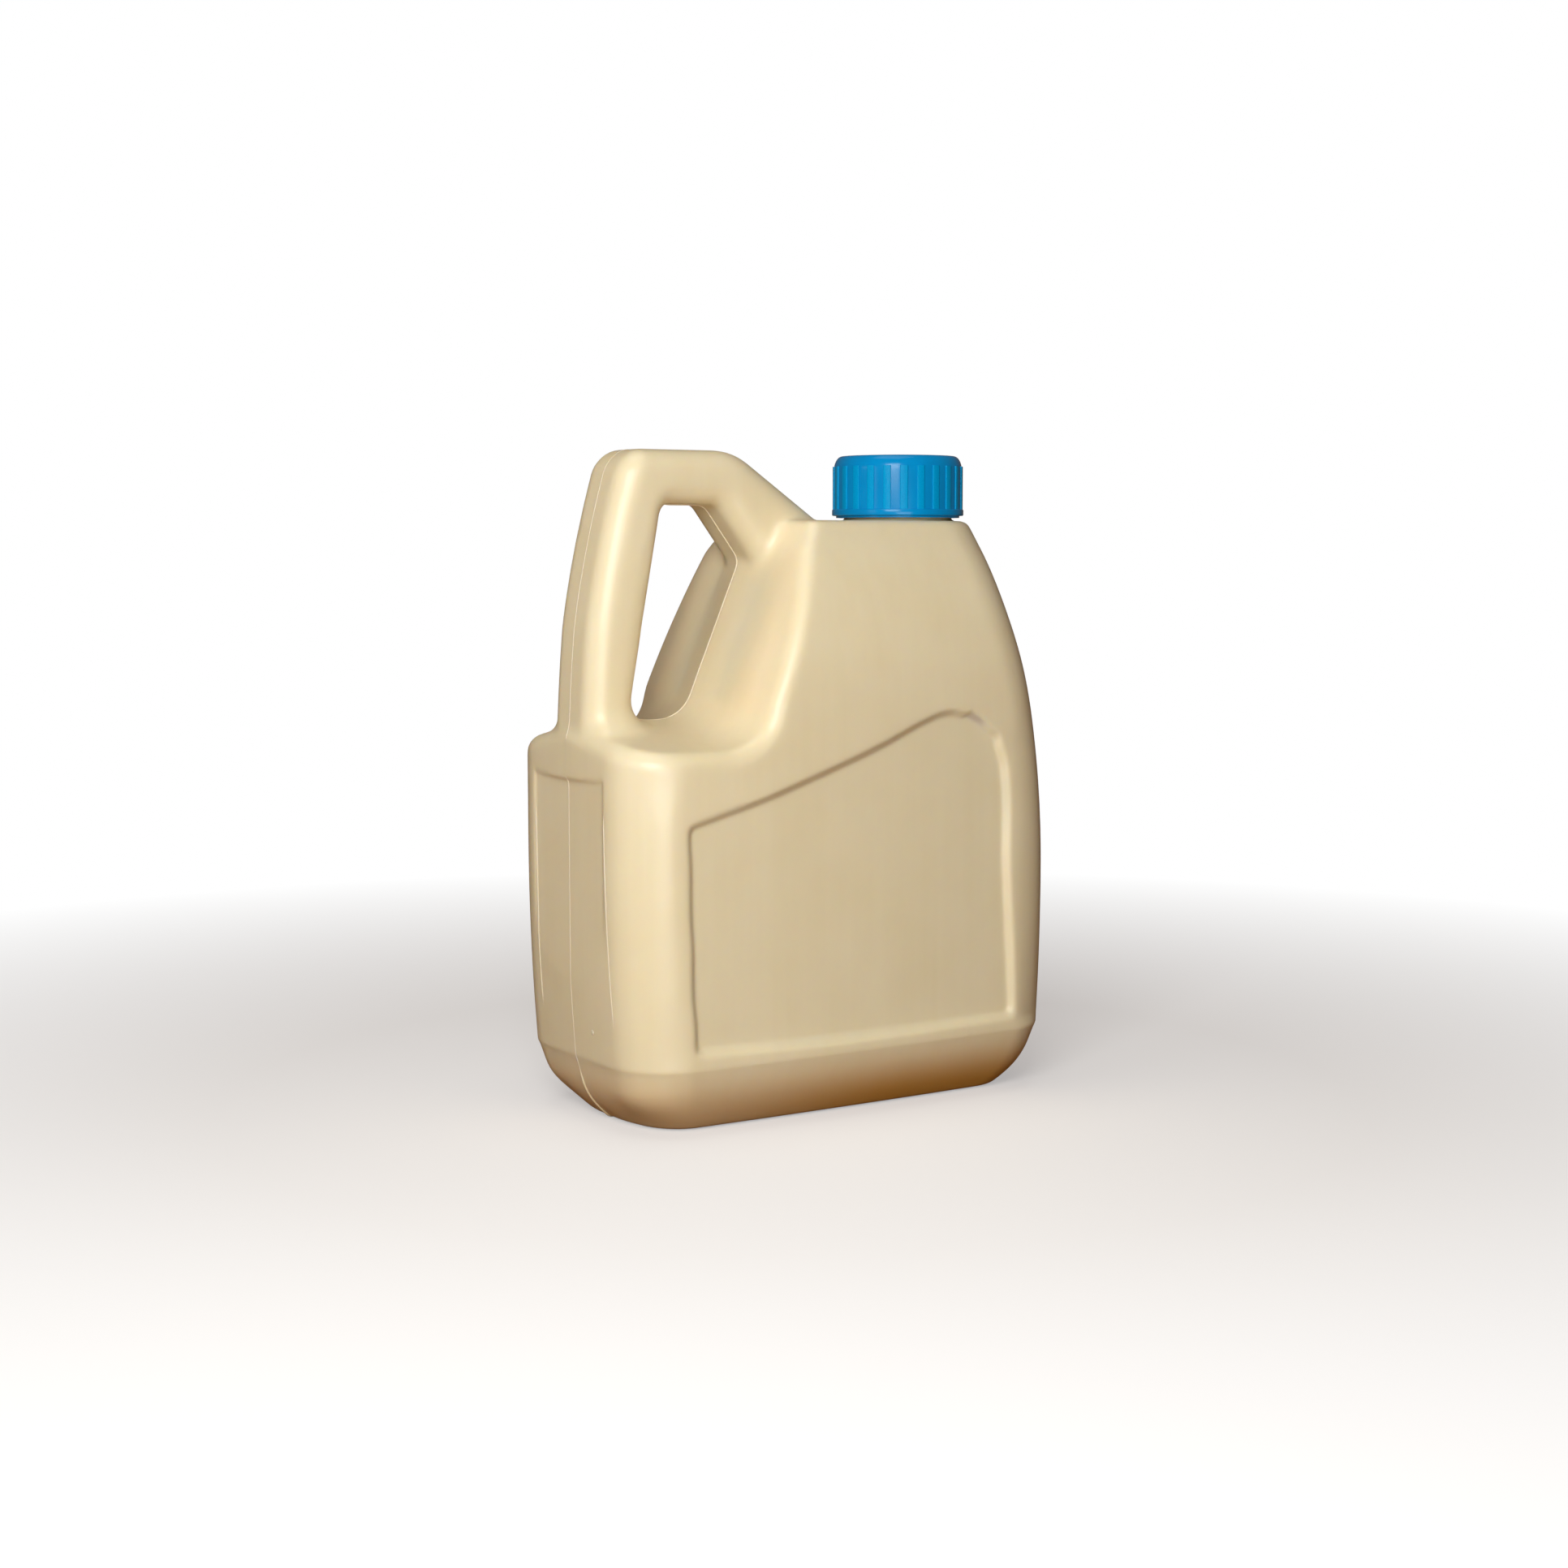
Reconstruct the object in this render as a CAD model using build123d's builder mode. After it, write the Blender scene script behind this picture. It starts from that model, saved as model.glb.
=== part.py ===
from build123d import *
from math import radians, sqrt, tan
import os

os.makedirs("parts", exist_ok=True)

# A blow-moulded jug of four and a half litres, with a hollow grip at the back and a screw cap.
# Millimetres, +Z up. The origin is on the floor under the middle of the jug. X runs from the
# grip to the cap, and the parting plane of the mould is Y = 0.

# ---- body: heights
deck_height = 251.0
shoulder_height = 167.5
band_height = 28.0

# ---- body: how far it reaches from the origin, and how far the lower band tucks in under it
front_reach = 108.0
back_reach = 108.0
half_depth = 55.0
front_tuck = 17.0
back_tuck = 17.0
side_tuck = 16.8
tuck_power = 1.55
end_bulge = 2.2
side_bulge = 1.4
corner_radius = 26.0
foot_corner_radius = 17.0
deck_edge_radius = 5.0
foot_edge_radius = 4.0
wall = 1.2

# ---- body: where the front and the sides start to lean in, the radii of those curves, and
# where the front runs on straight
front_lean_start = 98.0
front_lean_radius = 382.0
front_lean_end = 192.0
side_lean_start = 173.0
side_lean_radius = 150.0
side_lean_end = deck_height

# ---- body: how many plan outlines each part of its height is lofted through
foot_sections = 4
belly_sections = 4
wall_sections = 4
shoulder_sections = 5

# ---- body: the belly, under which both ends draw in to the lower band on one radius
front_belly = 95.0
back_belly = 115.0
belly_radius = 1050.0

# ---- base: the pushed-up middle that leaves a rim to stand on
push_up_depth = 2.5
push_up_margin = 9.0
push_up_draft = 50.0

# ---- scoop behind the body, which gives the fingers room on both sides of the grip
scoop_setback = 53.1
scoop_lean = 23.4
scoop_draft = 11.0
scoop_corner_radius = 17.0
rim_radius = 7.5

# ---- grip: a hollow bar up the back, over the top and down a strut to the deck
grip_top = 280.0
grip_half_width = 17.7
grip_foot_overhang = 0.9
grip_top_setback = 13.1
grip_back_bow = 3.4
grip_bar_thickness = 22.5
grip_bar_setback = 18.9
hole_back_setback = 34.9
hole_front_setback = 64.2
grip_bar_bow = 1.8
grip_edge_radius = 9.5
grip_top_radius = 12.0
grip_hole_radius = 6.5
grip_root_depth = 27.0
grip_root_radius = 13.0
strut_setback = 72.3
strut_start_radius = 28.0
strut_drop = 34.2
strut_root_height = 234.2
strut_root_radius = 6.0

# ---- label panel on both sides, with a top edge that climbs to the front
label_depth = 2.6
label_draft = 52.0
label_back_margin = 28.4
label_foot_margin = 25.6
label_front_margin = 32.1
label_foot = 35.5
label_back_top = 129.0
label_front_height = 152.0
label_peak_margin = 61.6
label_peak_height = 172.0
label_sag = 3.5
label_corner_radius = 3.0
label_front_radius = 16.0

# ---- shallow panel on the back
back_panel_depth = 1.4
back_panel_half_width = 30.0
back_panel_top = 146.0
back_panel_foot = 34.8
back_panel_bow = 1.3

# ---- neck, and the cap that screws over it
neck_setback = 50.7
neck_height = 25.8
neck_radius = 23.6
neck_wall = 2.2
neck_lip_radius = 0.6
thread_depth = 2.4
thread_clearance = 0.4
liner_thickness = 1.2
liner_clearance = 0.3
cap_wall = 2.0
cap_height = 27.5
cap_top_radius = 5.0
flange_height = 2.8
flange_projection = 0.8
flange_edge_radius = 0.5
lip_height = 0.9
lip_inset = 1.0
rib_count = 24
rib_width = 3.6
rib_projection = 0.5
rib_sink = 0.6
rib_top_gap = 5.0

neck_axis = front_reach - neck_setback
neck_top = deck_height + neck_height
cap_ceiling = neck_top + liner_thickness
cap_top = cap_ceiling + cap_wall
cap_foot = cap_top - cap_height
cap_bore = neck_radius + thread_depth + thread_clearance
cap_radius = cap_bore + cap_wall

# ---- where the scoop, the grip and the label lie, measured in from the ends of the body
scoop_foot = scoop_setback - back_reach
grip_back_foot = -back_reach - grip_foot_overhang
grip_back_top = grip_top_setback - back_reach
grip_bar_foot = grip_bar_setback - back_reach
grip_hole_back = hole_back_setback - back_reach
grip_hole_front = hole_front_setback - back_reach
strut_start = strut_setback - back_reach
label_back = label_back_margin - back_reach
label_front_foot = front_reach - label_foot_margin
label_front_top = front_reach - label_front_margin
label_peak = front_reach - label_peak_margin

# ---- how far cutting shapes run past what they cut, and how near an edge is to be picked
past_edge = 20.0
pick_gap = 0.1


def lean(height, start, radius, end):
    """How far a face has leaned in at a height, on an upright-starting arc with a straight end."""
    rise = min(max(height - start, 0.0), end - start)
    level = sqrt(radius**2 - rise**2)
    return radius - level + max(height - end, 0.0) * rise / level


def draw_in(height, belly):
    """How far an end has drawn in below the height of its belly."""
    drop = max(belly - height, 0.0)
    return belly_radius - sqrt(belly_radius**2 - drop**2)


def tuck(height):
    """Share of the lower band's tuck that is left at a height."""
    return max(1.0 - height / band_height, 0.0) ** tuck_power


def steps(start, end, count):
    """Evenly spaced heights from just above the start up to the end."""
    return [start + (end - start) * n / count for n in range(1, count + 1)]


def body_section(height, inset):
    """Plan outline of the body at a height: four bowed sides and four round corners."""
    share = tuck(height - inset)
    front = front_reach - front_tuck * share - inset
    front -= lean(height, front_lean_start, front_lean_radius, front_lean_end)
    front -= draw_in(height, front_belly)
    back = back_reach - back_tuck * share - inset - draw_in(height, back_belly)
    depth = half_depth - side_tuck * share - inset
    depth -= lean(height, side_lean_start, side_lean_radius, side_lean_end)
    radius = corner_radius - (corner_radius - foot_corner_radius) * share - inset
    middle = (front - back) / 2
    with BuildSketch(Plane.XY.offset(height)) as section:
        with BuildLine():
            ThreePointArc((-back, -depth), (middle, -depth - side_bulge), (front, -depth))
            ThreePointArc((front, -depth), (front + end_bulge, 0), (front, depth))
            ThreePointArc((front, depth), (middle, depth + side_bulge), (-back, depth))
            ThreePointArc((-back, depth), (-back - end_bulge, 0), (-back, -depth))
        make_face()
        fillet(section.vertices(), radius=radius)
    return section.sketch


def body_core(inset):
    """The body as a plain bottle: a tucked-in foot, an upright wall and leaning shoulders."""
    foot_top = band_height + inset
    with BuildPart() as core:
        for height in [inset] + steps(inset, foot_top, foot_sections):
            add(body_section(height, inset))
        loft()
        heights = [foot_top] + steps(foot_top, front_lean_start, belly_sections)
        heights += steps(front_lean_start, side_lean_start, wall_sections)
        heights += steps(side_lean_start, deck_height - inset, shoulder_sections)
        for height in heights:
            add(body_section(height, inset))
        loft()
    return core.part


def nearest(vertices, across, up):
    """The outline's corner that lies nearest to a point of its sketch plane."""
    return vertices.sort_by_distance(Vertex(across, up))[0]


def in_order(edges):
    """The edges in an order that is the same at every build."""
    return edges.sort_by(lambda edge: tuple(round(value, 3) for value in edge.center()))


def seam_edges(first, second, combined):
    """The edges along which two shapes meet."""
    return in_order(new_edges(first, second, combined=combined))


def scoop_tool(inset):
    """Everything behind the scoop wall and over the shoulder, widening from the parting plane."""
    foot = scoop_foot + inset
    floor = shoulder_height - inset
    rise = 2 * (deck_height - shoulder_height)
    lean_run = rise * tan(radians(scoop_lean))
    with BuildPart() as tool:
        with BuildSketch(Plane.XZ) as outline:
            with BuildLine():
                Polyline(
                    (foot, floor),
                    (foot + lean_run, floor + rise),
                    (-2 * back_reach, floor + rise),
                    (-2 * back_reach, floor),
                    close=True,
                )
            make_face()
            fillet(nearest(outline.vertices(), foot, floor), radius=scoop_corner_radius + inset)
        extrude(amount=half_depth + past_edge, taper=-scoop_draft)
        mirror(about=Plane.XZ)
    return tool.part


def grip_loop(inset):
    """The grip's bar and strut, from below the shoulder round to below the deck."""
    root = shoulder_height - grip_root_depth
    top = grip_top - inset
    under = grip_top - grip_bar_thickness + inset
    back_top = grip_back_top + inset
    hole_back = grip_hole_back - inset
    buried = deck_height - grip_half_width / 2
    strut_end = strut_start + (grip_top - buried) / tan(radians(strut_drop))
    vertex_x = scoop_foot + (strut_root_height - shoulder_height) * tan(radians(scoop_lean))
    under_end_x = 2 * vertex_x - grip_hole_front
    under_end_z = 2 * strut_root_height - (grip_top - grip_bar_thickness)
    with BuildPart() as grip:
        with BuildSketch(Plane.XZ) as outline:
            with BuildLine():
                back = SagittaArc((grip_back_foot + inset, root), (back_top, top), grip_back_bow)
                loop = Polyline(
                    back @ 1,
                    (strut_start, top),
                    (strut_end, buried - inset),
                    (under_end_x, under_end_z + inset),
                    (grip_hole_front, under),
                    (hole_back, under),
                )
                bar = SagittaArc(loop @ 1, (grip_bar_foot - inset, root), -grip_bar_bow)
                Line(bar @ 1, back @ 0)
            make_face()
            fillet(nearest(outline.vertices(), back_top, top), radius=grip_top_radius - inset)
            fillet(nearest(outline.vertices(), strut_start, top), radius=strut_start_radius)
            for corner in (grip_hole_front, hole_back):
                fillet(nearest(outline.vertices(), corner, under), radius=grip_hole_radius + inset)
        half_width = grip_half_width - inset
        extrude(amount=half_width, both=True)
        sides = grip.edges().filter_by(
            lambda edge: abs(abs(edge.center().Y) - half_width) < pick_gap
        )
        buried_ends = sides.filter_by(
            lambda edge: edge.center().Z < root + pick_gap
            or edge.center().X > (strut_end + under_end_x) / 2 - pick_gap
        )
        fillet(sides - buried_ends, radius=grip_edge_radius - inset)
    return grip.part


def label_tool(inset):
    """The label panel's recess, opening outwards from its flat floor, on both sides."""
    floor = half_depth + side_bulge - label_depth - inset
    # The sloping sides keep the full wall when the floor moves in by one wall.
    grow = inset * tan(radians(45 - label_draft / 2))
    with BuildPart() as tool:
        with BuildSketch(Plane.XZ.offset(floor)) as outline:
            with BuildLine():
                foot_front = (label_front_foot, label_foot)
                front_top = (label_front_top, label_front_height)
                peak = (label_peak, label_peak_height)
                back_top = (label_back, label_back_top)
                Polyline(back_top, (label_back, label_foot), foot_front, front_top)
                Line(front_top, peak)
                SagittaArc(peak, back_top, label_sag)
            make_face()
            front_corners = [nearest(outline.vertices(), *front_top)]
            front_corners += [nearest(outline.vertices(), *peak)]
            fillet(front_corners, radius=label_front_radius)
            fillet(outline.vertices().group_by(Axis.X)[0], radius=label_corner_radius)
            fillet(nearest(outline.vertices(), *foot_front), radius=label_corner_radius)
            if grow > 0:
                offset(amount=grow, kind=Kind.ARC)
        extrude(amount=2 * label_depth + inset, taper=-label_draft)
        mirror(about=Plane.XZ)
    return tool.part


def back_panel_tool(inset):
    """The shallow flat on the back, with a bowed edge above and below."""
    floor = back_reach + end_bulge - back_panel_depth - inset
    side = back_panel_half_width + inset
    top = back_panel_top + inset
    foot = back_panel_foot - inset
    with BuildPart() as tool:
        with BuildSketch(Plane.YZ.offset(-floor)) as outline:
            with BuildLine():
                ThreePointArc((-side, top), (0, top - back_panel_bow), (side, top))
                Line((side, top), (side, foot))
                ThreePointArc((side, foot), (0, foot + back_panel_bow), (-side, foot))
                Line((-side, foot), (-side, top))
            make_face()
        extrude(amount=-past_edge)
    return tool.part


def push_up_tool(inset):
    """The pushed-up middle of the base, with sloping sides."""
    margin = push_up_margin - inset
    length = front_reach - front_tuck + back_reach - back_tuck - 2 * margin
    width = 2 * (half_depth - side_tuck - margin)
    middle = (front_reach - front_tuck - back_reach + back_tuck) / 2
    with BuildPart() as tool:
        with BuildSketch(Plane(origin=(middle, 0, -past_edge))):
            RectangleRounded(length, width, foot_corner_radius / 2)
        extrude(amount=past_edge)
        rim_face = tool.faces().sort_by(Axis.Z)[-1]
        extrude(rim_face, amount=push_up_depth + inset, taper=push_up_draft)
    return tool.part


def jug_form(inset):
    """The jug's outer form, or with an inset of one wall the form of its hollow."""
    under_deck = deck_height - inset - pick_gap
    above_root = (shoulder_height + strut_root_height) / 2
    with BuildPart() as form:
        core = body_core(inset)
        scoop = scoop_tool(inset)
        add(core)
        add(scoop, mode=Mode.SUBTRACT)
        rim = seam_edges(core, scoop, form.part)
        fillet(rim.filter_by(lambda edge: edge.center().Z < under_deck), radius=rim_radius - inset)

        scooped = form.part
        grip = grip_loop(inset)
        add(grip)
        seam = seam_edges(scooped, grip, form.part)
        root = seam.filter_by(lambda edge: edge.center().Z < above_root)
        fillet(root, radius=grip_root_radius + inset)
        seam = seam_edges(scooped, grip, form.part)
        strut = seam.filter_by(lambda edge: above_root < edge.center().Z < under_deck)
        # Kept without the builder's clean-up, which merges edges that the deck's fillet needs.
        blended = form.part.fillet(strut_root_radius + inset, strut)
        add(blended, mode=Mode.REPLACE, clean=False)

        beside_strut = grip_half_width + strut_root_radius / 2
        deck_edges = form.edges().filter_by_position(Axis.Z, under_deck, deck_height)
        deck_edges = in_order(deck_edges).filter_by(
            lambda edge: abs(edge.center().Y) > beside_strut or edge.center().X > neck_axis
        )
        fillet(deck_edges, radius=deck_edge_radius - inset)

        foot_edges = form.edges().filter_by_position(Axis.Z, inset, inset + pick_gap)
        fillet(in_order(foot_edges), radius=foot_edge_radius - inset)

        add(label_tool(inset), mode=Mode.SUBTRACT)
        add(back_panel_tool(inset), mode=Mode.SUBTRACT)
        add(push_up_tool(inset), mode=Mode.SUBTRACT)
    return form.part


with BuildPart() as jug:
    add(jug_form(0))
    add(jug_form(wall), mode=Mode.SUBTRACT)
    # The neck finish stands on the deck, and its bore opens the hollow below.
    with BuildSketch(Plane.XZ) as neck_profile:
        with Locations((neck_axis + neck_radius, neck_top)):
            Rectangle(neck_wall, neck_height + wall, align=Align.MAX)
        lip_edge = nearest(neck_profile.vertices(), neck_axis + neck_radius, neck_top)
        fillet(lip_edge, radius=neck_lip_radius)
    revolve(axis=Axis((neck_axis, 0, 0), (0, 0, 1)))
    with Locations((neck_axis, 0, neck_top)):
        Hole(neck_radius - neck_wall, depth=neck_height + 2 * wall)

with BuildPart() as screw_cap:
    with BuildSketch(Plane.XZ) as cap_profile:
        flange_foot = cap_foot + lip_height
        flange_radius = cap_radius + flange_projection
        with BuildLine():
            Polyline(
                (neck_axis, cap_ceiling),
                (neck_axis + cap_bore, cap_ceiling),
                (neck_axis + cap_bore, cap_foot),
                (neck_axis + cap_radius - lip_inset, cap_foot),
                (neck_axis + cap_radius - lip_inset, flange_foot),
                (neck_axis + flange_radius, flange_foot),
                (neck_axis + flange_radius, flange_foot + flange_height),
                (neck_axis + cap_radius, flange_foot + flange_height),
                (neck_axis + cap_radius, cap_top),
                (neck_axis, cap_top),
                close=True,
            )
        make_face()
        top_corner = nearest(cap_profile.vertices(), neck_axis + cap_radius, cap_top)
        fillet(top_corner, radius=cap_top_radius)
        for height in (flange_foot, flange_foot + flange_height):
            flange_corner = nearest(cap_profile.vertices(), neck_axis + flange_radius, height)
            fillet(flange_corner, radius=flange_edge_radius)
    revolve(axis=Axis((neck_axis, 0, 0), (0, 0, 1)))
    # Flat grip ribs run up the skirt from the flange to just under the rounded top.
    rib_foot = flange_foot + flange_height - rib_sink
    with BuildSketch(Plane.XY.offset(rib_foot)) as ribs:
        with Locations((neck_axis, 0)):
            with PolarLocations(cap_radius, rib_count):
                Rectangle(2 * rib_projection, rib_width)
    extrude(amount=cap_top - rib_top_gap - rib_foot)

with BuildPart() as cap_liner:
    with BuildSketch(Plane.XY.offset(neck_top)):
        with Locations((neck_axis, 0)):
            Circle(cap_bore - liner_clearance)
    extrude(amount=liner_thickness)

for name, piece in (("jug", jug), ("screw_cap", screw_cap), ("cap_liner", cap_liner)):
    piece.part.label = name
    export_step(piece.part, f"parts/{name}.step")
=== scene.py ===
import math

import bmesh
import bpy
import numpy as np
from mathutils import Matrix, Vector
from mathutils.bvhtree import BVHTree


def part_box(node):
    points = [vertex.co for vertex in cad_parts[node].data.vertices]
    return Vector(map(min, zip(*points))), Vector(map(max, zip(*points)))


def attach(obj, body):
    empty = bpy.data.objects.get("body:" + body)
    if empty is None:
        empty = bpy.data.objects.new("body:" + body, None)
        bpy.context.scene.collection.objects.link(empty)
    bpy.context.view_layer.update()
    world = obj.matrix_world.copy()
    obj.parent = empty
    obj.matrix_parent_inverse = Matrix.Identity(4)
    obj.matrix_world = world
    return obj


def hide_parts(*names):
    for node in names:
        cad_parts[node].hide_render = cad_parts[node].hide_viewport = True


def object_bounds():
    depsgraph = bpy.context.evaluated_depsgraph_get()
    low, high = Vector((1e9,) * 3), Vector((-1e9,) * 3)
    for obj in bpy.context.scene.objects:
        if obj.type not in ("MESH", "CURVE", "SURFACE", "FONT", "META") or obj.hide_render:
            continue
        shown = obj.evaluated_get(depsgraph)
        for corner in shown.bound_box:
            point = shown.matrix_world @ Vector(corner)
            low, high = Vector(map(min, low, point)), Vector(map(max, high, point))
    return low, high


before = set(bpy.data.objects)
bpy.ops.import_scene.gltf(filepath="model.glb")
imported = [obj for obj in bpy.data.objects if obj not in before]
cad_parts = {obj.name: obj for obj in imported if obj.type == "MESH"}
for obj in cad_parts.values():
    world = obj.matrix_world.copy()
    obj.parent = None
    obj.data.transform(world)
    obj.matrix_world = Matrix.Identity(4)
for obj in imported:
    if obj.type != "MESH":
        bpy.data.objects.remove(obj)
cad_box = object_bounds()
scene = bpy.context.scene
scene.view_settings.view_transform = "Standard"


# ---- Camera: a long lens at about the height of the jug's deck, looking slightly down at the
# label side and the grip side together.
camera_place = Vector((-0.5829, -0.8965, 0.2410))
camera_azimuth = math.radians(-32.9)
camera_pitch = math.radians(5.58)
camera_data = bpy.data.cameras.new("camera")
camera_data.sensor_width = 36.0
camera_data.lens = 56.42
camera_data.clip_start = 0.01


def placed(name, data):
    """A new object in the scene."""
    made = bpy.data.objects.new(name, data)
    scene.collection.objects.link(made)
    return made


camera = placed("camera", camera_data)
camera.location = camera_place
camera.rotation_euler = (math.pi / 2 - camera_pitch, 0, camera_azimuth)
scene.camera = camera


# ---- Studio: a pale floor that fades into a white surround, a soft key lamp off the rear corner
# of the label side, a low lamp before that side, one behind the grip and a large one above.
# Nothing here is part of the jug.
def linear(hex_colour):
    """A colour written as sRGB hex, as the linear values that a shader takes."""
    channels = [int(hex_colour[n : n + 2], 16) / 255 for n in (0, 2, 4)]
    return [c / 12.92 if c <= 0.04045 else ((c + 0.055) / 1.055) ** 2.4 for c in channels] + [1.0]


def add_node(tree, kind, settings=None, **links):
    """Adds a node. The settings are properties or unlinked inputs, by name or by number. A link
    is named for its input, or in0, in1 and so on for the input of that number."""
    node = tree.nodes.new(kind)
    for key, value in (settings or {}).items():
        if isinstance(key, str) and hasattr(node, key):
            setattr(node, key, value)
        else:
            node.inputs[key].default_value = value
    for name, source in links.items():
        spot = int(name[2:]) if name.startswith("in") else name.replace("_", " ")
        tree.links.new(source, node.inputs[spot])
    return node


def surface(name):
    """A new material and its empty node tree."""
    made = bpy.data.materials.new(name)
    made.use_nodes = True
    made.node_tree.nodes.clear()
    return made, made.node_tree


# The surround looks white, mirrors dimly in a gloss and lights the shade with a warm glow.
world = bpy.data.worlds.new("white_surround")
scene.world = world
world.use_nodes = True
tree = world.node_tree
tree.nodes.clear()
path = add_node(tree, "ShaderNodeLightPath")
seen = add_node(tree, "ShaderNodeMath", {"operation": "MAXIMUM"},
                in0=path.outputs["Is Camera Ray"], in1=path.outputs["Is Transmission Ray"])
mirrored = add_node(tree, "ShaderNodeMath", {"operation": "MULTIPLY", 1: 0.06},
                    in0=path.outputs["Is Glossy Ray"])
seen = add_node(tree, "ShaderNodeMath", {"operation": "MAXIMUM"},
                in0=seen.outputs[0], in1=mirrored.outputs[0])
ambient = add_node(tree, "ShaderNodeBackground", {"Color": linear("FFAC4A"), "Strength": 0.085})
white = add_node(tree, "ShaderNodeBackground", {"Color": (1, 1, 1, 1), "Strength": 1.0})
surround = add_node(tree, "ShaderNodeMixShader", None,
                    in0=seen.outputs[0], in1=ambient.outputs[0], in2=white.outputs[0])
add_node(tree, "ShaderNodeOutputWorld", None, Surface=surround.outputs[0])

floor_reach = 3.0
floor_drop = 0.0004
floor_mesh = bpy.data.meshes.new("floor")
corners = [(-floor_reach, -floor_reach, 0), (floor_reach, -floor_reach, 0),
           (floor_reach, floor_reach, 0), (-floor_reach, floor_reach, 0)]
floor_mesh.from_pydata(corners, [], [(0, 1, 2, 3)])
floor = placed("floor", floor_mesh)
floor.location.z = -floor_drop
floor_paint, tree = surface("white_paper_floor")
place = add_node(tree, "ShaderNodeTexCoord")
radius = add_node(tree, "ShaderNodeVectorMath", {"operation": "LENGTH"},
                  in0=place.outputs["Object"])
fade = add_node(tree, "ShaderNodeMapRange",
                {"From Min": 0.25, "From Max": 0.75, "To Min": 0.4, "To Max": 1.0},
                Value=radius.outputs["Value"])
path = add_node(tree, "ShaderNodeLightPath")
fade = add_node(tree, "ShaderNodeMath", {"operation": "MULTIPLY"},
                in0=fade.outputs[0], in1=path.outputs["Is Camera Ray"])
dim = add_node(tree, "ShaderNodeMix",
               {"data_type": "RGBA", 6: linear("7C4C12"), 7: linear("F2F0EC")},
               in0=path.outputs["Is Camera Ray"])
paper = add_node(tree, "ShaderNodeBsdfDiffuse", None, Color=dim.outputs[2])
lift = add_node(tree, "ShaderNodeEmission", {"Color": (1, 1, 1, 1), "Strength": 1.0})
paint = add_node(tree, "ShaderNodeMixShader", None,
                 in0=fade.outputs[0], in1=paper.outputs[0], in2=lift.outputs[0])
add_node(tree, "ShaderNodeOutputMaterial", None, Surface=paint.outputs[0])
floor_mesh.materials.append(floor_paint)

jug_middle = Vector((0, 0, 0.14))
for name, place, size, power in (
    ("key_lamp", (-0.62, -0.68, 0.52), 0.42, 7.4),
    ("low_lamp", (-0.34, -0.84, 0.04), 0.40, 3.6),
    ("top_lamp", (-0.20, -0.10, 1.60), 0.9, 5.0),
    ("rear_lamp", (-0.95, -0.05, 0.25), 0.5, 1.2),
):
    lamp_data = bpy.data.lights.new(name, "AREA")
    lamp_data.shape = "SQUARE"
    lamp_data.size = size
    lamp_data.energy = power
    lamp = placed(name, lamp_data)
    lamp.location = place
    aim = jug_middle - lamp.location
    lamp.rotation_euler = aim.to_track_quat("-Z", "Y").to_euler()


# ---- Jug body: one blown shell of natural high-density polyethylene. The blowing leaves every
# edge soft, so the skin is the frame's outer form remeshed and relaxed, then hollowed by the
# frame's own cavity so that the neck is open.
voxel = 0.0010
relax_steps = 6
kept_share = 0.36
kept_share_inside = 0.3
weld_distance = 1e-5
lip_tolerance = 2e-5
cavity_rise = 0.004
neck_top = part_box("cap_liner")[0].z

tank = bmesh.new()
tank.from_mesh(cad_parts["jug"].data)
bmesh.ops.remove_doubles(tank, verts=tank.verts, dist=weld_distance)
tank.faces.ensure_lookup_table()
hit = BVHTree.FromBMesh(tank).ray_cast(Vector((0, 0, 0.1)), Vector((0, 0, -1)))
hollow = {tank.faces[hit[2]]}
edge_of_search = list(hollow)
while edge_of_search:
    face = edge_of_search.pop()
    for edge in face.edges:
        for other in edge.link_faces:
            on_lip = all(abs(v.co.z - neck_top) < lip_tolerance for v in other.verts)
            if other not in hollow and not on_lip:
                hollow.add(other)
                edge_of_search.append(other)
hollow_numbers = {face.index for face in hollow}


def closed_part(name, keep_hollow):
    """Either the outer form or the cavity of the shell, closed across the neck."""
    part = tank.copy()
    part.faces.ensure_lookup_table()
    unwanted = [f for f in part.faces if (f.index in hollow_numbers) != keep_hollow]
    bmesh.ops.delete(part, geom=unwanted, context="FACES")
    rim = [e for e in part.edges if e.is_boundary]
    if keep_hollow:
        risen = bmesh.ops.extrude_edge_only(part, edges=rim)["geom"]
        rim_points = [g for g in risen if isinstance(g, bmesh.types.BMVert)]
        bmesh.ops.translate(part, verts=rim_points, vec=(0, 0, cavity_rise))
        rim = [g for g in risen if isinstance(g, bmesh.types.BMEdge)]
    bmesh.ops.contextual_create(part, geom=rim)
    bmesh.ops.recalc_face_normals(part, faces=part.faces)
    bmesh.ops.triangulate(part, faces=part.faces)
    mesh = bpy.data.meshes.new(name)
    part.to_mesh(mesh)
    part.free()
    return placed(name, mesh)


def settled(thing):
    """Turns an object's modifiers into its own mesh."""
    bpy.context.view_layer.update()
    graph = bpy.context.evaluated_depsgraph_get()
    mesh = bpy.data.meshes.new_from_object(thing.evaluated_get(graph))
    old = thing.data
    thing.modifiers.clear()
    thing.data = mesh
    bpy.data.meshes.remove(old)
    return thing


def smoothed(mesh, crease=None):
    """Shades a mesh smooth, but for edges that bend more than the crease, in degrees."""
    for polygon in mesh.polygons:
        polygon.use_smooth = True
    if crease is not None:
        mesh.set_sharp_from_angle(angle=math.radians(crease))


jug = closed_part("blown_jug", False)
cavity = closed_part("cavity", True)
tank.free()

remesh = jug.modifiers.new("skin", "REMESH")
remesh.mode = "VOXEL"
remesh.voxel_size = voxel
relax = jug.modifiers.new("relax", "SMOOTH")
relax.factor = 0.5
relax.iterations = relax_steps
settled(jug)

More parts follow.
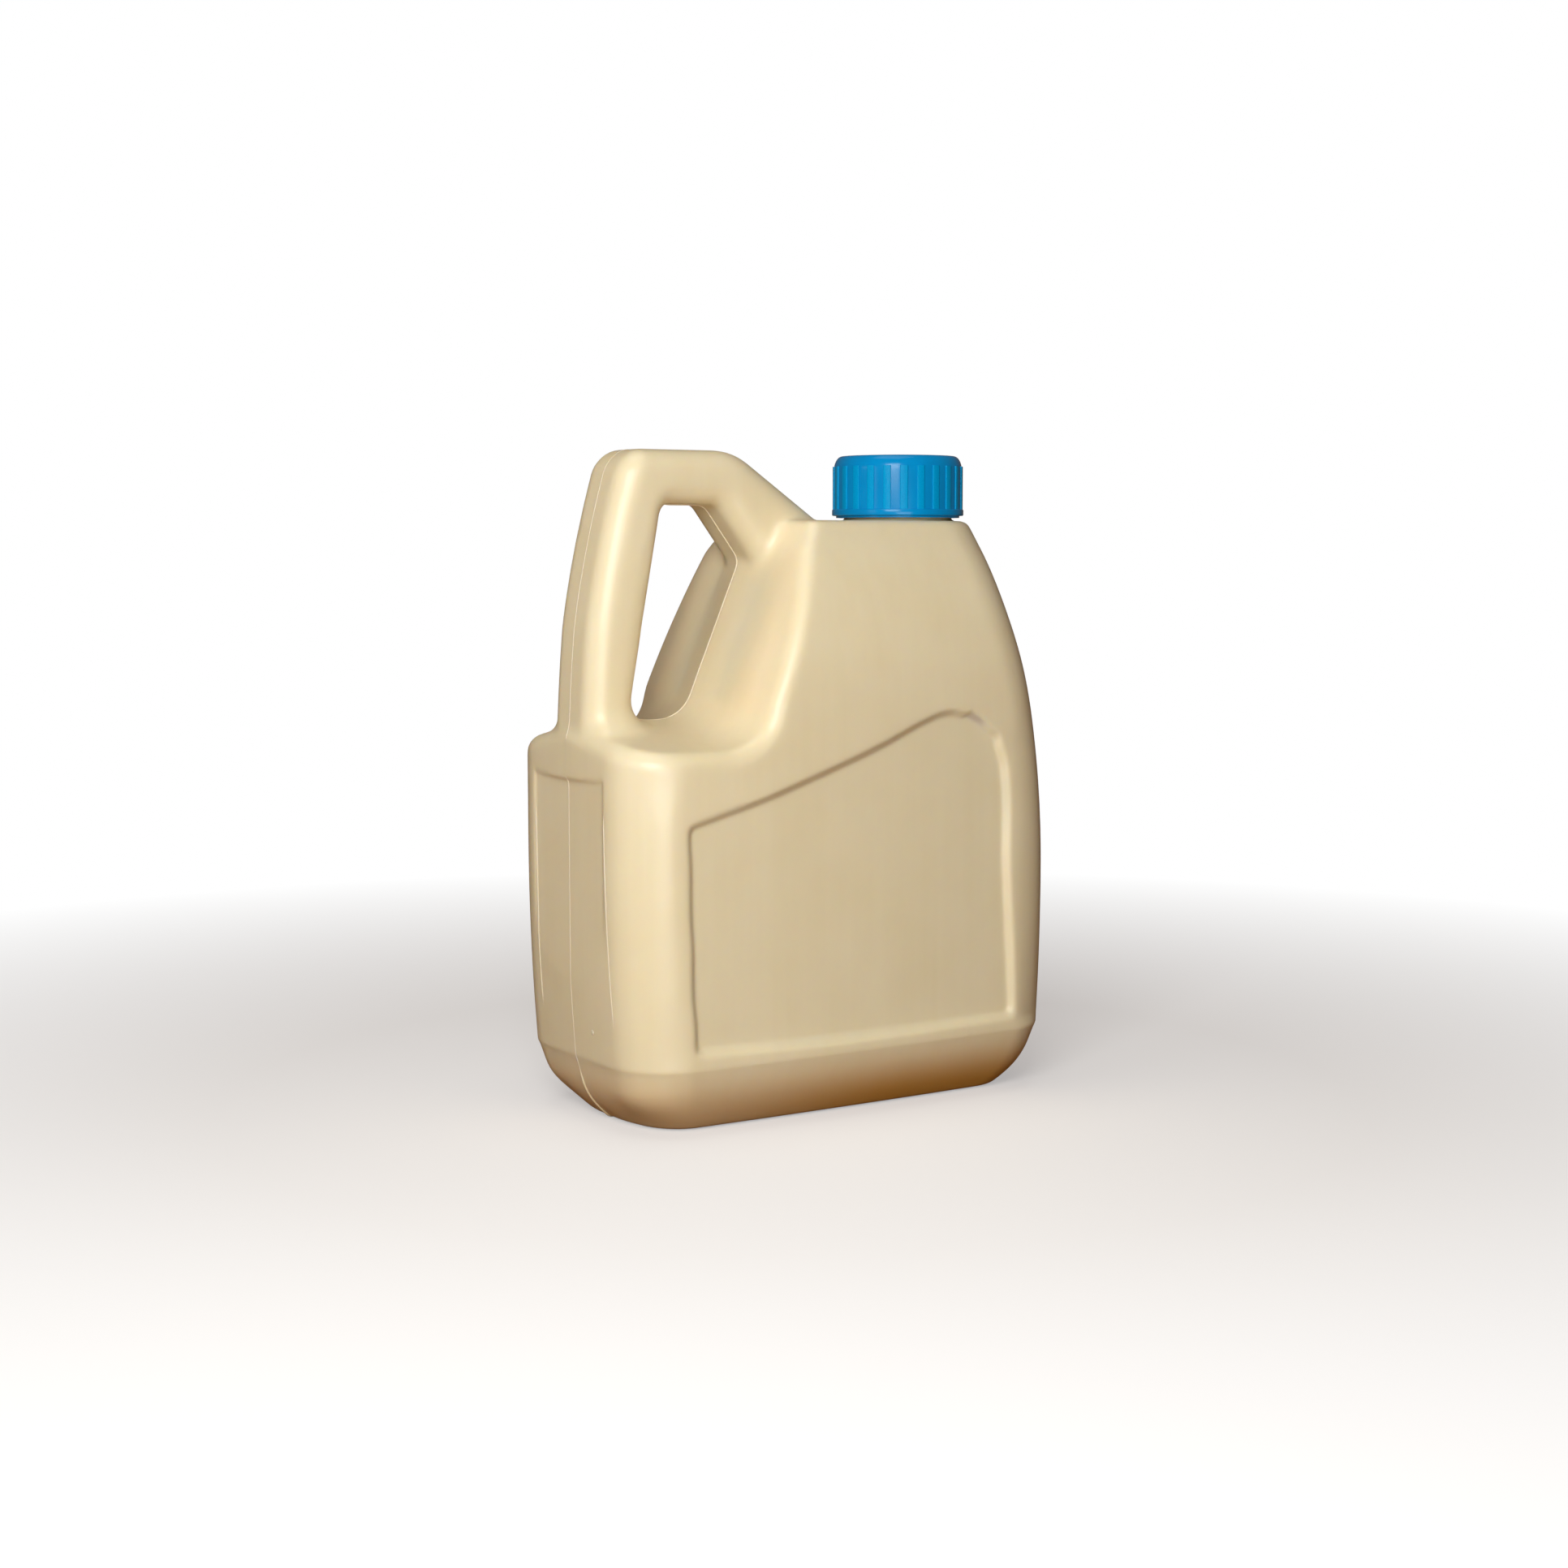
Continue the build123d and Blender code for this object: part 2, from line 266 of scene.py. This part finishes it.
thin = cavity.modifiers.new("thin", "DECIMATE")
thin.ratio = kept_share_inside
settled(cavity)


def eased(value, start, end):
    """Goes smoothly from 0 at the start to 1 at the end."""
    share = np.clip((value - start) / (end - start), 0.0, 1.0)
    return share * share * (3 - 2 * share)


# As the shell cools it settles by a few millimetres. A span gives the two places between which
# an effect sets in. First the band above the heel: its ends fill out, but less at the grip side's
# corners, and its upper edge stays crisp.
band_height = 0.028
band_fullness = 0.036
band_span = (band_height, 0.006)
corner_loss = 0.9
corner_span = (0.008, 0.034)
foot_span = (0.018, 0.002)
heel_reach = 0.017
tuck_power = 1.55
straight_share = 0.55
curved_share = 0.45
curve_power = 2.6
half_length = 0.105
half_depth = 0.050

# Then the grip, which draws forward towards its top with the finger hole, and the rims of the
# scoop beside it, which draw back.
grip_draw = 0.0054
grip_foot = 0.206
grip_rise = 0.069
grip_power = 1.25
grip_span = (-0.068, -0.094)
hole_draw = 0.0019
hole_height_span = (0.160, 0.205)
hole_front_span = (-0.045, -0.062)
hole_back_span = (-0.102, -0.080)
scoop_rim_draw = -0.0032
scoop_side_span = (0.014, 0.040)
scoop_front_span = (0.030, -0.005)
scoop_foot_span = (0.160, 0.180)
scoop_top_span = (0.250, 0.236)

# Last the label panel: it sinks a little and its rim shifts in the plane of the side. The rim is
# a polygon of (x, height), and each spot near it moves by its own (x, height). The wall brings
# the cavity's sides out to where the skin is, so that both shift alike.
wall = 0.0012
side_limit = 0.044
side_span = (side_limit, 0.050)
panel_foot_span = (band_height, 0.034)
panel_limit = 0.195
panel_dent = 0.0009
dent_span = (0.0036, -0.0008)
shift_span = (0.024, 0.008)
shift_power = 3
shift_softness = 0.002
panel_rim = np.array([(-0.0796, 0.1290), (-0.0796, 0.0355), (0.0824, 0.0355), (0.0763, 0.1440),
                      (0.0743, 0.1511), (0.0693, 0.1565), (0.0538, 0.1670), (0.0461, 0.1697),
                      (0.0381, 0.1687), (0.0157, 0.1588), (-0.0155, 0.1472), (-0.0473, 0.1373)])
rim_spots = np.array([(-0.0800, 0.1300), (-0.0540, 0.1370), (0.0114, 0.1590), (0.0470, 0.1715),
                      (0.0620, 0.1630), (0.0705, 0.1575), (0.0762, 0.1510), (0.0795, 0.0930),
                      (0.0830, 0.0358), (0.0000, 0.0352), (-0.0791, 0.0342), (-0.0800, 0.0700),
                      (-0.0800, 0.1000)])
rim_moves = np.array([(-0.0024, -0.0026), (0.0000, -0.0018), (0.0000, -0.0018), (0.0022, -0.0021),
                      (0.0006, 0.0022), (0.0000, 0.0018), (-0.0018, 0.0000), (-0.0024, 0.0000),
                      (-0.0022, 0.0002), (0.0000, -0.0002), (0.0006, 0.0010), (-0.0009, 0.0000),
                      (-0.0018, 0.0000)])


def rim_distance(spots):
    """How far points lie outside the panel's rim, negative inside."""
    nearest = np.full(len(spots), 1.0)
    inside = np.zeros(len(spots), bool)
    for start, end in zip(panel_rim, np.roll(panel_rim, -1, axis=0)):
        run = end - start
        share = np.clip((spots - start) @ run / (run @ run), 0, 1)[:, None]
        gap = spots - (start + share * run)
        nearest = np.minimum(nearest, np.hypot(gap[:, 0], gap[:, 1]))
        crosses = (start[1] > spots[:, 1]) != (end[1] > spots[:, 1])
        if run[1] != 0:
            meet = start[0] + (spots[:, 1] - start[1]) * run[0] / run[1]
            inside ^= crosses & (spots[:, 0] < meet)
    return np.where(inside, -nearest, nearest)


for part in (jug, cavity):
    flat = np.empty(len(part.data.vertices) * 3)
    part.data.vertices.foreach_get("co", flat)
    points = flat.reshape(-1, 3)
    x, y, z = points[:, 0].copy(), points[:, 1].copy(), points[:, 2].copy()

    full = x * band_fullness * eased(z, *band_span)
    full *= 1 - corner_loss * (x < 0) * eased(np.abs(y), *corner_span) * eased(z, *foot_span)
    low = np.clip(1 - z / band_height, 0.0, 1.0)
    curved = straight_share * low + curved_share * low**curve_power
    creased = heel_reach * (low**tuck_power - curved)
    points[:, 0] += creased * np.clip(x / half_length, -1, 1)
    points[:, 1] += creased * np.clip(y / half_depth, -1, 1)

    rim = scoop_rim_draw * eased(np.abs(y), *scoop_side_span) * eased(x, *scoop_front_span)
    points[:, 0] += rim * eased(z, *scoop_foot_span) * eased(z, *scoop_top_span)
    hole = hole_draw * eased(z, *hole_height_span)
    hole *= eased(x, *hole_front_span) * eased(x, *hole_back_span)
    climb = np.clip((z - grip_foot) / grip_rise, 0.0, 1.0) ** grip_power
    points[:, 0] += full + hole + grip_draw * climb * eased(x, *grip_span)

    reach = np.abs(y) + (wall if part is cavity else 0.0)
    side = np.where((reach > side_limit) & (z > band_height) & (z < panel_limit))[0]
    held = eased(reach[side], *side_span) * eased(z[side], *panel_foot_span)
    spots = points[side][:, (0, 2)]
    gap = rim_distance(spots)
    apart = np.linalg.norm(spots[:, None] - rim_spots[None], axis=2)
    pull = 1 / (apart + shift_softness) ** shift_power
    move = (pull / pull.sum(axis=1, keepdims=True)) @ rim_moves
    move *= (eased(np.abs(gap), *shift_span) * held)[:, None]
    dent = panel_dent * eased(gap, *dent_span) * held
    points[side, 0] += move[:, 0]
    points[side, 1] -= np.sign(y[side]) * dent
    points[side, 2] += move[:, 1]
    part.data.vertices.foreach_set("co", points.ravel())
    part.data.update()
fewer = jug.modifiers.new("fewer", "DECIMATE")
fewer.ratio = kept_share
settled(jug)

# The parting line of the two mould halves runs round the outer skin in the plane between them.
skin = bmesh.new()
skin.from_mesh(jug.data)
whole = skin.verts[:] + skin.edges[:] + skin.faces[:]
bmesh.ops.bisect_plane(skin, geom=whole, plane_co=(0, 0, 0), plane_no=(0, 1, 0),
                       clear_inner=True, clear_outer=True)
seam_mesh = bpy.data.meshes.new("parting_path")
skin.to_mesh(seam_mesh)
skin.free()

cut = jug.modifiers.new("hollow", "BOOLEAN")
cut.operation = "DIFFERENCE"
cut.solver = "EXACT"
cut.object = cavity
settled(jug)
bpy.data.objects.remove(cavity)
smoothed(jug.data, crease=60)

# Natural polyethylene, blown: satin, a little translucent, with faint vertical flow lines from
# the parison, and painted shade low down: the band above the heel is darkened to a deep amber,
# more towards the front, where the key lamp's light falls off.
resin, tree = surface("natural_hdpe_blow_moulded")
place = add_node(tree, "ShaderNodeTexCoord")
flow = add_node(tree, "ShaderNodeMapping", {"Scale": (180.0, 180.0, 9.0)},
                Vector=place.outputs["Object"])
streaks = add_node(tree, "ShaderNodeTexNoise", {"Scale": 1.0, "Detail": 3.0},
                   Vector=flow.outputs[0])
cloud = add_node(tree, "ShaderNodeTexNoise", {"Scale": 28.0, "Detail": 2.0},
                 Vector=place.outputs["Object"])
tone = add_node(tree, "ShaderNodeMath", {"operation": "MULTIPLY_ADD", 1: 0.5},
                in0=streaks.outputs["Fac"], in2=cloud.outputs["Fac"])
tone = add_node(tree, "ShaderNodeMapRange", {"From Min": 0.4, "From Max": 1.1},
                Value=tone.outputs[0])
shell = add_node(tree, "ShaderNodeMix",
                 {"data_type": "RGBA", 6: linear("E4D1AA"), 7: linear("EAD8B5")},
                 in0=tone.outputs[0])
height = add_node(tree, "ShaderNodeSeparateXYZ", None, Vector=place.outputs["Object"])
# Painted shade: low down, the shell colour is mixed towards a deep amber. The grip end, which the
# key lamp lights, gets less of it and the front gets the most.
low = add_node(tree, "ShaderNodeMapRange",
               {"interpolation_type": "SMOOTHSTEP", "From Min": 0.030, "From Max": 0.004,
                "To Min": 0.0, "To Max": 0.9},
               Value=height.outputs["Z"])
shade_towards_front = add_node(tree, "ShaderNodeMapRange",
                         {"interpolation_type": "SMOOTHSTEP", "From Min": -0.085, "From Max": 0.03,
                          "To Min": 0.45, "To Max": 1.0},
                         Value=height.outputs["X"])
low = add_node(tree, "ShaderNodeMath", {"operation": "MULTIPLY"},
               in0=low.outputs[0], in1=shade_towards_front.outputs[0])
# BE8722 is the colour of the painted shade under the band's crease, not a colour of the resin.
heel_painted_shade = add_node(tree, "ShaderNodeMix", {"data_type": "RGBA", 7: linear("BE8722")},
                in0=low.outputs[0], in6=shell.outputs[2])
grain = add_node(tree, "ShaderNodeTexNoise", {"Scale": 1600.0, "Detail": 1.0},
                 Vector=place.outputs["Object"])
relief = add_node(tree, "ShaderNodeMath", {"operation": "MULTIPLY_ADD", 1: 0.25},
                  in0=grain.outputs["Fac"], in2=streaks.outputs["Fac"])
bump = add_node(tree, "ShaderNodeBump", {"Strength": 0.12, "Distance": 0.0004},
                Height=relief.outputs[0])
skin = add_node(tree, "ShaderNodeBsdfPrincipled",
                {"Roughness": 0.42, "IOR": 1.54, "Specular IOR Level": 0.6,
                 "Subsurface Weight": 0.35, "Subsurface Radius": (1.0, 0.55, 0.22),
                 "Subsurface Scale": 0.006},
                Base_Color=heel_painted_shade.outputs[2], Normal=bump.outputs[0])
add_node(tree, "ShaderNodeOutputMaterial", None, Surface=skin.outputs[0])
jug.data.materials.clear()
jug.data.materials.append(resin)
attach(jug, "jug")
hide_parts("jug")


# ---- Flash and marks of the blow mould, all of the jug's own resin: the parting line round the
# skin, clearer down the scoop, the thicker pinch-off where the mould welds the parison at the
# heel and under the base, two hairline insert edges on the back panel and one vent pip.
bead_spacing = 0.0015
bead_tip = 0.1
bead_sides = 8


def geometry_group(name, inputs, result):
    """A tree of geometry nodes with named inputs, and the node that hands these out."""
    tree = bpy.data.node_groups.new(name, "GeometryNodeTree")
    tree.is_modifier = True
    for socket, kind, value in inputs:
        entry = tree.interface.new_socket(socket, in_out="INPUT", socket_type="NodeSocket" + kind)
        if value is not None:
            entry.default_value = value
    tree.interface.new_socket(result, in_out="OUTPUT", socket_type="NodeSocketGeometry")
    return tree, tree.nodes.new("NodeGroupInput")


def modelled(name, mesh, tree, geometry, material):
    """An object with the mesh that a tree of geometry nodes makes, in one material."""
    finish = add_node(tree, "GeometryNodeSetMaterial", {"Material": material}, Geometry=geometry)
    result = tree.nodes.new("NodeGroupOutput")
    tree.links.new(finish.outputs[0], result.inputs[0])
    made = placed(name, mesh)
    made.modifiers.new(name, "NODES").node_group = tree
    return settled(made)


def bead(name, points, edges, radius, taper):
    """A round bead of the jug's resin, half sunk in the skin, swept along a path."""
    tree, sizes = geometry_group(name, (("Path", "Geometry", None), ("Radius", "Float", radius),
                                        ("Spacing", "Float", bead_spacing),
                                        ("Taper", "Float", taper)), "Bead")
    line = add_node(tree, "GeometryNodeMeshToCurve", None, Mesh=sizes.outputs["Path"])
    even = add_node(tree, "GeometryNodeResampleCurve", {"mode": "LENGTH"}, Curve=line.outputs[0],
                    Length=sizes.outputs["Spacing"])
    along = add_node(tree, "GeometryNodeSplineParameter")
    start = add_node(tree, "ShaderNodeMapRange", {"From Min": 0.0, "To Min": bead_tip},
                     Value=along.outputs["Factor"], From_Max=sizes.outputs["Taper"])
    rest = add_node(tree, "ShaderNodeMath", {"operation": "SUBTRACT", 0: 1.0},
                    in1=along.outputs["Factor"])
    end = add_node(tree, "ShaderNodeMapRange", {"From Min": 0.0, "To Min": bead_tip},
                   Value=rest.outputs[0], From_Max=sizes.outputs["Taper"])
    swell = add_node(tree, "ShaderNodeMath", {"operation": "MINIMUM"},
                     in0=start.outputs[0], in1=end.outputs[0])
    wire = add_node(tree, "GeometryNodeCurvePrimitiveCircle", {"Resolution": bead_sides},
                    Radius=sizes.outputs["Radius"])
    swept = add_node(tree, "GeometryNodeCurveToMesh", {"Fill Caps": True}, Curve=even.outputs[0],
                     Profile_Curve=wire.outputs[0], Scale=swell.outputs[0])
    path_mesh = bpy.data.meshes.new(name)
    path_mesh.from_pydata(points, edges, [])
    made = modelled(name, path_mesh, tree, swept.outputs[0], resin)
    for vertex in made.data.vertices:
        for way in range(3):
            vertex.co[way] = min(max(vertex.co[way], cad_box[0][way]), cad_box[1][way])
    smoothed(made.data)
    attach(made, "jug")


seam_points = [tuple(v.co) for v in seam_mesh.vertices]
cap_low, cap_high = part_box("screw_cap")
neck_axis = (cap_low.x + cap_high.x) / 2
neck_zone = 0.030
deck = 0.2505
neck_zone_foot = deck - 0.001
scoop_heights = (0.162, 0.2575)
scoop_reach = (-0.064, -0.015)
heel_weld_height = 0.024
heel_weld_front = -0.050
base_weld_height = 0.006
base_weld_front = 0.075


def seam_part(wanted):
    """The edges of the parting path whose two ends are wanted, each an (x, height)."""
    return [tuple(e.vertices) for e in seam_mesh.edges
            if all(wanted(seam_points[n][0], seam_points[n][2]) for n in e.vertices)]


off_the_neck = seam_part(lambda x, z: z <= neck_zone_foot or abs(x - neck_axis) >= neck_zone)
bead("parting_line", seam_points, off_the_neck, radius=0.0002, taper=0.002)
in_scoop = seam_part(lambda x, z: scoop_heights[0] < z < scoop_heights[1]
                     and scoop_reach[0] < x < scoop_reach[1])
bead("scoop_parting_line", seam_points, in_scoop, radius=0.0004, taper=0.02)
pinched = seam_part(lambda x, z: (z < heel_weld_height and x < heel_weld_front)
                    or (z < base_weld_height and x < base_weld_front))
bead("pinch_off", seam_points, pinched, radius=0.00065, taper=0.06)

# The insert edges and the pip lie on the skin of the back panel, found from behind.
outside_x = cad_box[0].x - 0.01
skin_tree = BVHTree.FromObject(jug, bpy.context.evaluated_depsgraph_get())
edge_top = 0.132
edge_foot = 0.045
edge_steps = 22
for name, top_y, foot_y in (("insert_edge_near", -0.0305, -0.0333),
                            ("insert_edge_far", 0.0294, 0.0275)):
    points = []
    for n in range(edge_steps + 1):
        z = edge_top - (edge_top - edge_foot) * n / edge_steps
        y = top_y + (foot_y - top_y) * n / edge_steps
        points.append(skin_tree.ray_cast(Vector((outside_x, y, z)), Vector((1, 0, 0)))[0])
    bead(name, points, [(n, n + 1) for n in range(edge_steps)], radius=0.00032, taper=0.06)

pip_radius = 0.0011
pip_height = 0.0003
pip_y = -0.016
pip_z = 0.0406
pip_form = bmesh.new()
spot = skin_tree.ray_cast(Vector((outside_x, pip_y, pip_z)), Vector((1, 0, 0)))[0]
bmesh.ops.create_uvsphere(pip_form, u_segments=24, v_segments=12, radius=pip_radius)
bmesh.ops.scale(pip_form, verts=pip_form.verts, vec=(pip_height / pip_radius, 1, 1))
bmesh.ops.translate(pip_form, verts=pip_form.verts, vec=spot)
pip_mesh = bpy.data.meshes.new("vent_pip")
pip_form.to_mesh(pip_mesh)
pip_form.free()
pip = placed("vent_pip", pip_mesh)
pip_mesh.materials.append(resin)
smoothed(pip_mesh)
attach(pip, "jug")


# ---- Screw cap: injection-moulded blue polypropylene, glossy between 24 flat grip ribs whose
# faces are finely sparked. It is turned as one profile, and the ribs stand on its skirt.
flange_projection = 0.0008
skirt_wall = 0.0020
roof = 0.0020
bore_corner = 0.0006
lip = 0.0009
lip_inset = 0.0010
flange_height = 0.0028
flange_edge = 0.0005
crown = (0.0036, 0.0062)
crown_drop = 0.0004
dome_drop = 0.0001
flange_radius = (cap_high.x - cap_low.x) / 2
cap_radius = flange_radius - flange_projection
cap_bore = cap_radius - skirt_wall
cap_top = cap_high.z
cap_foot = cap_low.z
flange_foot = cap_foot + lip
flange_top = flange_foot + flange_height
ceiling = cap_top - roof


def turned(name, outline, turns=128):
    """A closed ring turned round the neck's axis from an outline of (radius, height)."""
    mesh = bpy.data.meshes.new(name)
    form = bmesh.new()
    points = [form.verts.new((r + neck_axis, 0, z)) for r, z in outline]
    edges = [form.edges.new(pair) for pair in zip(points, points[1:] + points[:1])]
    bmesh.ops.spin(form, geom=points + edges, cent=(neck_axis, 0, 0), axis=(0, 0, 1),
                   angle=2 * math.pi, steps=turns, use_duplicate=False)
    bmesh.ops.remove_doubles(form, verts=form.verts, dist=1e-6)
    bmesh.ops.recalc_face_normals(form, faces=form.faces)
    form.to_mesh(mesh)
    form.free()
    smoothed(mesh, crease=35)
    return placed(name, mesh)


def corner(middle, radii, start, end, count=8):
    """Points of a rounded corner, from one angle in degrees to another."""
    angles = [math.radians(start + (end - start) * n / count) for n in range(count + 1)]
    return [(middle[0] + radii[0] * math.cos(a), middle[1] + radii[1] * math.sin(a))
            for a in angles]


lip_radius = cap_radius - lip_inset
flange_round = (flange_edge, flange_edge)
flange_middle = flange_radius - flange_edge
outline = [(0.0, ceiling), (cap_bore - bore_corner, ceiling), (cap_bore, ceiling - bore_corner),
           (cap_bore, cap_foot), (lip_radius, cap_foot), (lip_radius, flange_foot)]
outline += corner((flange_middle, flange_foot + flange_edge), flange_round, -90, 0, 4)
outline += corner((flange_middle, flange_top - flange_edge), flange_round, 0, 90, 4)
outline += [(cap_radius, flange_top)]
outline += corner((cap_radius - crown[0], cap_top - crown_drop - crown[1]), crown, 0, 90, 12)
outline += [(cap_radius * 0.5, cap_top - dome_drop), (0.0, cap_top)]
cap = turned("cap_shell", outline)

blue_gloss, tree = surface("blue_polypropylene_gloss_moulded")
place = add_node(tree, "ShaderNodeTexCoord")
swirl = add_node(tree, "ShaderNodeTexNoise", {"Scale": 90.0, "Detail": 2.0},
                 Vector=place.outputs["Object"])
swirl_tone = add_node(tree, "ShaderNodeMapRange", {"From Min": 0.3, "From Max": 0.7},
                      Value=swirl.outputs["Fac"])
paint = add_node(tree, "ShaderNodeMix",
                 {"data_type": "RGBA", 6: linear("0080BC"), 7: linear("0086C2")},
                 in0=swirl_tone.outputs[0])
wave = add_node(tree, "ShaderNodeBump", {"Strength": 0.05, "Distance": 0.0004},
                Height=swirl.outputs["Fac"])
gloss = add_node(tree, "ShaderNodeBsdfPrincipled",
                 {"Roughness": 0.16, "IOR": 1.49, "Specular IOR Level": 0.2},
                 Base_Color=paint.outputs[2], Normal=wave.outputs[0])
add_node(tree, "ShaderNodeOutputMaterial", None, Surface=gloss.outputs[0])
cap.data.materials.append(blue_gloss)
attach(cap, "cap")
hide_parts("screw_cap")

# The ribs: rounded bars, repeated round the skirt, with the spark-eroded face of their mould.
blue_spark, tree = surface("blue_polypropylene_spark_textured")
place = add_node(tree, "ShaderNodeTexCoord")
spark = add_node(tree, "ShaderNodeTexNoise", {"Scale": 2400.0, "Detail": 2.0},
                 Vector=place.outputs["Object"])
spark_tone = add_node(tree, "ShaderNodeMapRange", {"From Min": 0.35, "From Max": 0.65},
                      Value=spark.outputs["Fac"])
paint = add_node(tree, "ShaderNodeMix",
                 {"data_type": "RGBA", 6: linear("008CC4"), 7: linear("0096CC")},
                 in0=spark_tone.outputs[0])
pits = add_node(tree, "ShaderNodeBump", {"Strength": 0.35, "Distance": 0.0002},
                Height=spark.outputs["Fac"])
gloss = add_node(tree, "ShaderNodeBsdfPrincipled",
                 {"Roughness": 0.22, "IOR": 1.49, "Specular IOR Level": 0.06},
                 Base_Color=paint.outputs[2], Normal=pits.outputs[0])
add_node(tree, "ShaderNodeOutputMaterial", None, Surface=gloss.outputs[0])

rib_count = 24
rib_width = 0.0034
rib_depth = 0.0010
rib_edge = 0.00035
rib_sink = 0.0006
rib_top_gap = 0.0050
rib_foot = flange_top - rib_sink
rib_top = cap_top - rib_top_gap
rib_tree, sizes = geometry_group(
    "cap_ribs", (("Count", "Int", rib_count), ("Radius", "Float", cap_radius),
                 ("Width", "Float", rib_width), ("Depth", "Float", rib_depth),
                 ("Length", "Float", rib_top - rib_foot), ("Edge", "Float", rib_edge)), "Ribs")
section = add_node(rib_tree, "GeometryNodeCurvePrimitiveQuadrilateral", None,
                   Width=sizes.outputs["Depth"], Height=sizes.outputs["Width"])
section = add_node(rib_tree, "GeometryNodeFilletCurve", {"mode": "POLY", "Count": 3},
                   Curve=section.outputs[0], Radius=sizes.outputs["Edge"])
run_end = add_node(rib_tree, "ShaderNodeCombineXYZ", None, Z=sizes.outputs["Length"])
run = add_node(rib_tree, "GeometryNodeCurvePrimitiveLine", None, End=run_end.outputs[0])
bar = add_node(rib_tree, "GeometryNodeCurveToMesh", {"Fill Caps": True}, Curve=run.outputs[0],
               Profile_Curve=section.outputs[0])
ring = add_node(rib_tree, "GeometryNodeMeshCircle", None, Vertices=sizes.outputs["Count"],
                Radius=sizes.outputs["Radius"])
spot = add_node(rib_tree, "GeometryNodeInputPosition")
facing = add_node(rib_tree, "FunctionNodeAlignRotationToVector", {"axis": "X", "pivot_axis": "Z"},
                  Vector=spot.outputs[0])
stood = add_node(rib_tree, "GeometryNodeInstanceOnPoints", None, Points=ring.outputs[0],
                 Instance=bar.outputs[0], Rotation=facing.outputs[0])
real = add_node(rib_tree, "GeometryNodeRealizeInstances", None, Geometry=stood.outputs[0])
shift = add_node(rib_tree, "GeometryNodeTransform", {"Translation": (neck_axis, 0, rib_foot)},
                 Geometry=real.outputs[0])
ribs = modelled("cap_ribs", bpy.data.meshes.new("cap_ribs"), rib_tree, shift.outputs[0],
                blue_spark)
smoothed(ribs.data, crease=50)
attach(ribs, "cap")


# ---- Threads: a blown thread of two turns on the neck, run-outs included, and the moulded thread
# in the cap that runs between its turns. Both are right-handed and share one pitch.
thread_pitch = 0.0040
thread_turns = 2.0
thread_steps = 96
thread_sides = 10
thread_runout = 0.12
thread_tip = 0.05
thread_height = 0.0105
neck_clearance = 0.0028
neck_thread_rise = 0.0005
neck_thread_depth = 0.0012
cap_thread_sink = 0.0004
cap_thread_depth = 0.0011
neck_radius = cap_bore - neck_clearance
thread_foot = deck + thread_height


def thread(name, radius, depth, foot, material):
    """A thread with run-out ends, swept along a helix about the neck's axis."""
    tree, sizes = geometry_group(name, (("Radius", "Float", radius),
                                        ("Turns", "Float", thread_turns),
                                        ("Rise", "Float", thread_turns * thread_pitch),
                                        ("Depth", "Float", depth)), "Thread")
    helix = add_node(tree, "GeometryNodeCurveSpiral", {"Resolution": thread_steps, "Reverse": True},
                     Rotations=sizes.outputs["Turns"], Start_Radius=sizes.outputs["Radius"],
                     End_Radius=sizes.outputs["Radius"], Height=sizes.outputs["Rise"])
    upright = add_node(tree, "GeometryNodeSetCurveNormal", {"mode": "Z_UP"},
                       Curve=helix.outputs[0])
    along = add_node(tree, "GeometryNodeSplineParameter")
    start = add_node(tree, "ShaderNodeMapRange",
                     {"From Min": 0.0, "From Max": thread_runout, "To Min": thread_tip},
                     Value=along.outputs["Factor"])
    end = add_node(tree, "ShaderNodeMapRange",
                   {"From Min": 1.0, "From Max": 1.0 - thread_runout, "To Min": thread_tip},
                   Value=along.outputs["Factor"])
    swell = add_node(tree, "ShaderNodeMath", {"operation": "MINIMUM"},
                     in0=start.outputs[0], in1=end.outputs[0])
    tapered = add_node(tree, "GeometryNodeSetCurveRadius", None, Curve=upright.outputs[0],
                       Radius=swell.outputs[0])
    round_wire = add_node(tree, "GeometryNodeCurvePrimitiveCircle", {"Resolution": thread_sides},
                          Radius=sizes.outputs["Depth"])
    swept = add_node(tree, "GeometryNodeCurveToMesh", {"Fill Caps": True}, Curve=tapered.outputs[0],
                     Profile_Curve=round_wire.outputs[0], Scale=swell.outputs[0])
    shift = add_node(tree, "GeometryNodeTransform", {"Translation": (neck_axis, 0, foot)},
                     Geometry=swept.outputs[0])
    made = modelled(name, bpy.data.meshes.new(name), tree, shift.outputs[0], material)
    smoothed(made.data)
    return made


neck_thread = thread("neck_thread", neck_radius + neck_thread_rise, neck_thread_depth,
                     thread_foot, resin)
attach(neck_thread, "jug")
cap_thread = thread("cap_thread", cap_bore - cap_thread_sink, cap_thread_depth,
                    thread_foot - thread_pitch / 2, blue_gloss)
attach(cap_thread, "cap")


# ---- Cap liner: a die-cut wad of foamed polyethylene, matt white, that seals on the neck's lip.
# Its form is the frame's own, shown as it is.
foam, tree = surface("white_polyethylene_foam_die_cut")
place = add_node(tree, "ShaderNodeTexCoord")
cells = add_node(tree, "ShaderNodeTexVoronoi", {"Scale": 1800.0}, Vector=place.outputs["Object"])
shade = add_node(tree, "ShaderNodeMix",
                 {"data_type": "RGBA", 6: linear("E6E5E0"), 7: linear("F4F3EF")},
                 in0=cells.outputs["Distance"])
pores = add_node(tree, "ShaderNodeBump", {"Strength": 0.3, "Distance": 0.0002},
                 Height=cells.outputs["Distance"])
matt = add_node(tree, "ShaderNodeBsdfPrincipled", {"Roughness": 0.85, "IOR": 1.5},
                Base_Color=shade.outputs[2], Normal=pores.outputs[0])
add_node(tree, "ShaderNodeOutputMaterial", None, Surface=matt.outputs[0])
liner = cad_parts["cap_liner"]
liner.data.materials.clear()
liner.data.materials.append(foam)
